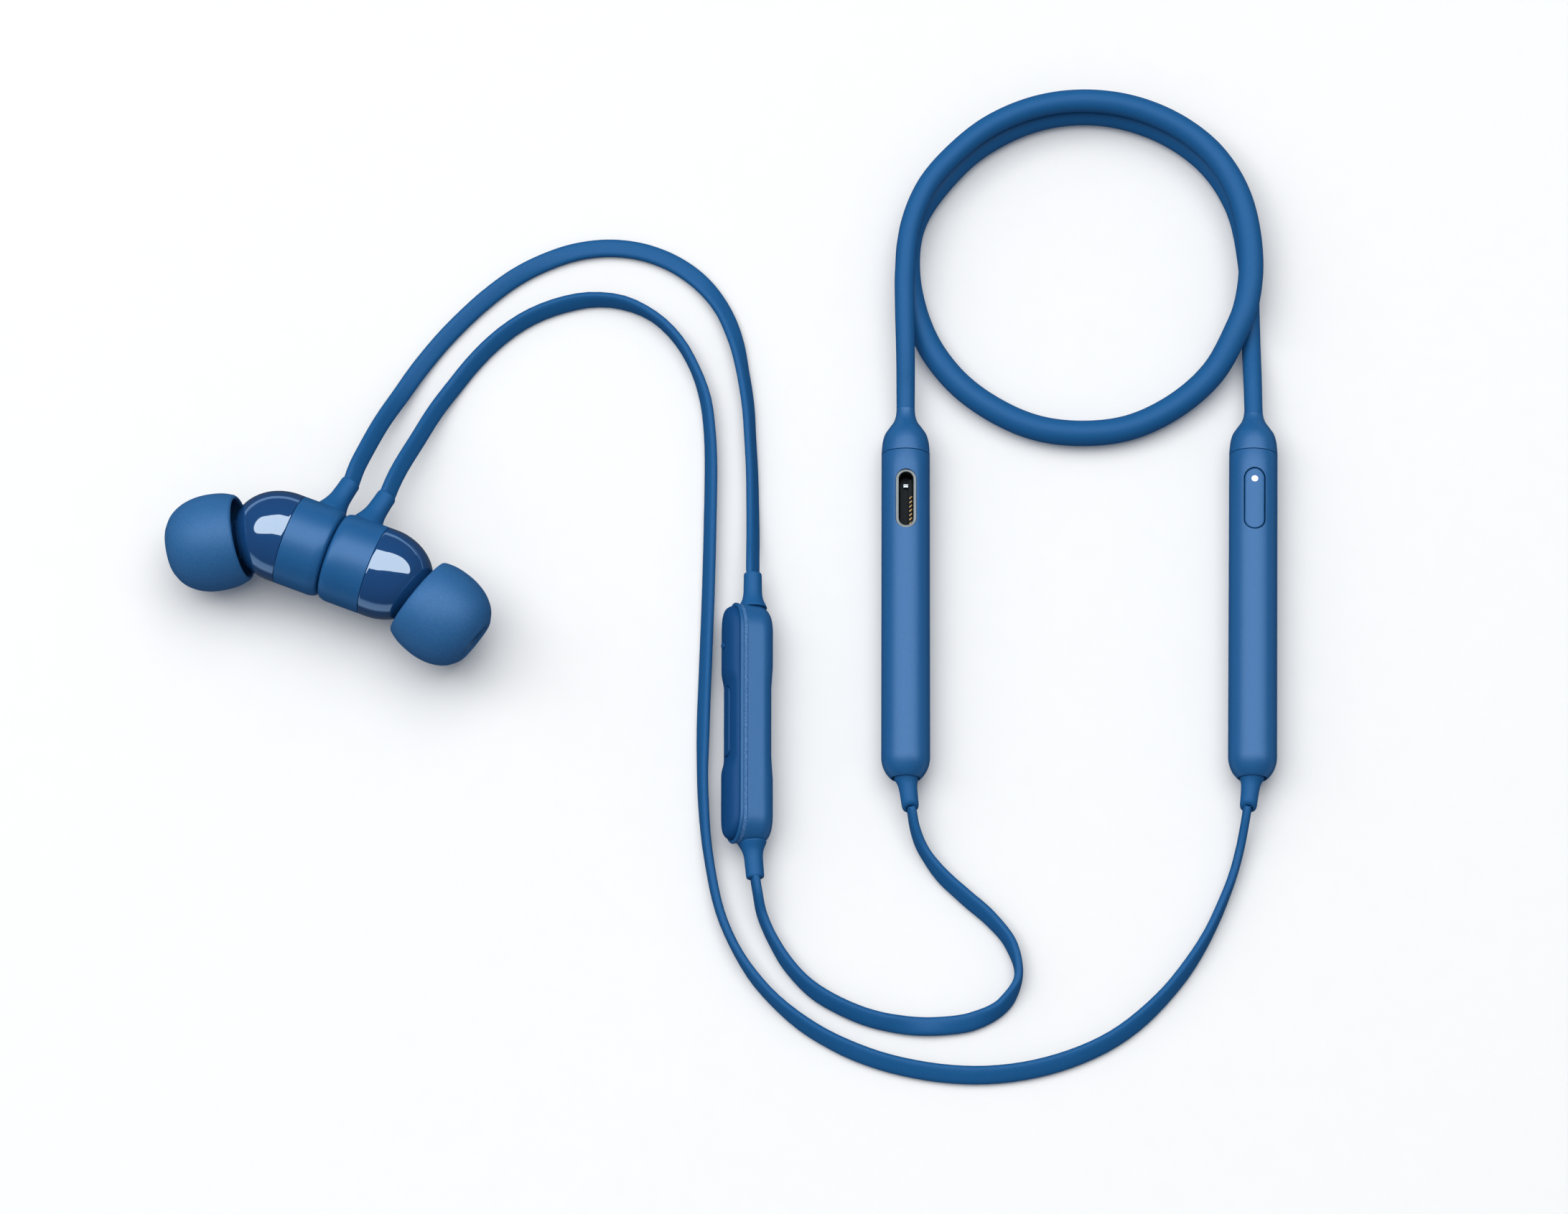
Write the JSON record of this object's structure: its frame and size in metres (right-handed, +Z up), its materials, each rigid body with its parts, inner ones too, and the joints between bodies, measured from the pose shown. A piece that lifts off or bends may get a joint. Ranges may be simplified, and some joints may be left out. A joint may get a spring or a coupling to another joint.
{
  "type": "neckband earphones",
  "caption": "In-ear earphones on a coiled flexible neck cable, with two slim capsules, an inline remote and magnetic earbuds.",
  "frame": {"origin": "on the floor under the middle of the object's box, measured without the ear leads", "axes": "+X from the earbuds to the capsules, +Y to the closed end of the neck cable's loop, +Z up"},
  "size_m": [0.1491, 0.1388, 0.0142],
  "materials": {
    "soft_touch": "satin soft-touch",
    "silicone": "matte silicone",
    "cable": "satin",
    "tip_silicone": "frosted, fine speckle",
    "gloss": "high gloss",
    "keypad": "fine texture",
    "bright_metal": "brushed",
    "black_plastic": "matte",
    "gold": "plated",
    "light_pipe": "diffuse white",
    "steel": "satin",
    "board": "solder mask",
    "battery": "wrapped"
  },
  "bodies": {
    "root": {"neckband_jacket": "silicone", "memory_wire": "steel", "left_capsule_shell": "soft_touch", "left_neck_boot": "soft_touch", "left_tail_boot": "silicone", "left_wire_crimp": "steel", "charge_port_shell": "bright_metal", "charge_port_insert": "black_plastic", "charge_port_contacts": "gold", "charger_board": "board", "battery_cell": "battery", "right_capsule_shell": "soft_touch", "right_neck_boot": "soft_touch", "right_tail_boot": "silicone", "right_wire_crimp": "steel", "main_board": "board", "power_switch": "steel", "shield_can": "steel", "remote_back_shell": "soft_touch", "remote_gasket": "keypad", "remote_bezel": "soft_touch", "remote_board": "board", "volume_up_dome": "steel", "centre_dome": "steel", "volume_down_dome": "steel", "microphone": "steel", "remote_upper_boot": "silicone", "remote_lower_boot": "silicone", "left_bud_cup": "soft_touch", "left_bud_magnet": "steel", "left_bud_driver": "steel", "left_bud_dome": "gloss", "left_nozzle_mesh": "steel", "left_bud_boot": "silicone", "left_lead_upper": "cable", "left_lead_lower": "cable", "right_lead": "cable"},
    "power_key": {"power_button": "soft_touch", "status_light": "light_pipe"},
    "volume": {"volume_pad": "keypad"},
    "centre": {"centre_key": "keypad"},
    "left_tip": {"left_ear_tip": "tip_silicone"},
    "right_bud": {"right_bud_cup": "soft_touch", "right_bud_magnet": "steel", "right_bud_driver": "steel", "right_bud_dome": "gloss", "right_nozzle_mesh": "steel", "right_bud_boot": "silicone"},
    "right_tip": {"right_ear_tip": "tip_silicone"}
  },
  "joints": [
    {"name": "power_press", "type": "slide", "parent": "root", "child": "power_key", "axis": [0, 0, -1], "range_m": [0, 0.0003], "stiffness_N_per_m": 800},
    {"name": "volume_rock", "type": "hinge", "parent": "root", "child": "volume", "pos_m": [0.00184, -0.03474, 0.00387], "axis": [0.3746, 0, 0.9272], "range_deg": [-1.3, 1.3], "stiffness_Nm_per_rad": 0.02},
    {"name": "centre_press", "type": "slide", "parent": "root", "child": "centre", "axis": [0.9272, 0, -0.3746], "range_m": [0, 0.00025], "stiffness_N_per_m": 800},
    {"name": "left_tip_pull", "type": "slide", "parent": "root", "child": "left_tip", "axis": [-0.9699, -0.1178, -0.2132], "range_m": [0, 0.008]},
    {"name": "bud_parting", "type": "slide", "parent": "root", "child": "right_bud", "axis": [0.9337, -0.358, 0], "range_m": [0, 0.01], "deforming": ["right_lead"]},
    {"name": "right_tip_pull", "type": "slide", "parent": "right_bud", "child": "right_tip", "axis": [0.7765, -0.6205, -0.1097], "range_m": [0, 0.008]}
  ]
}
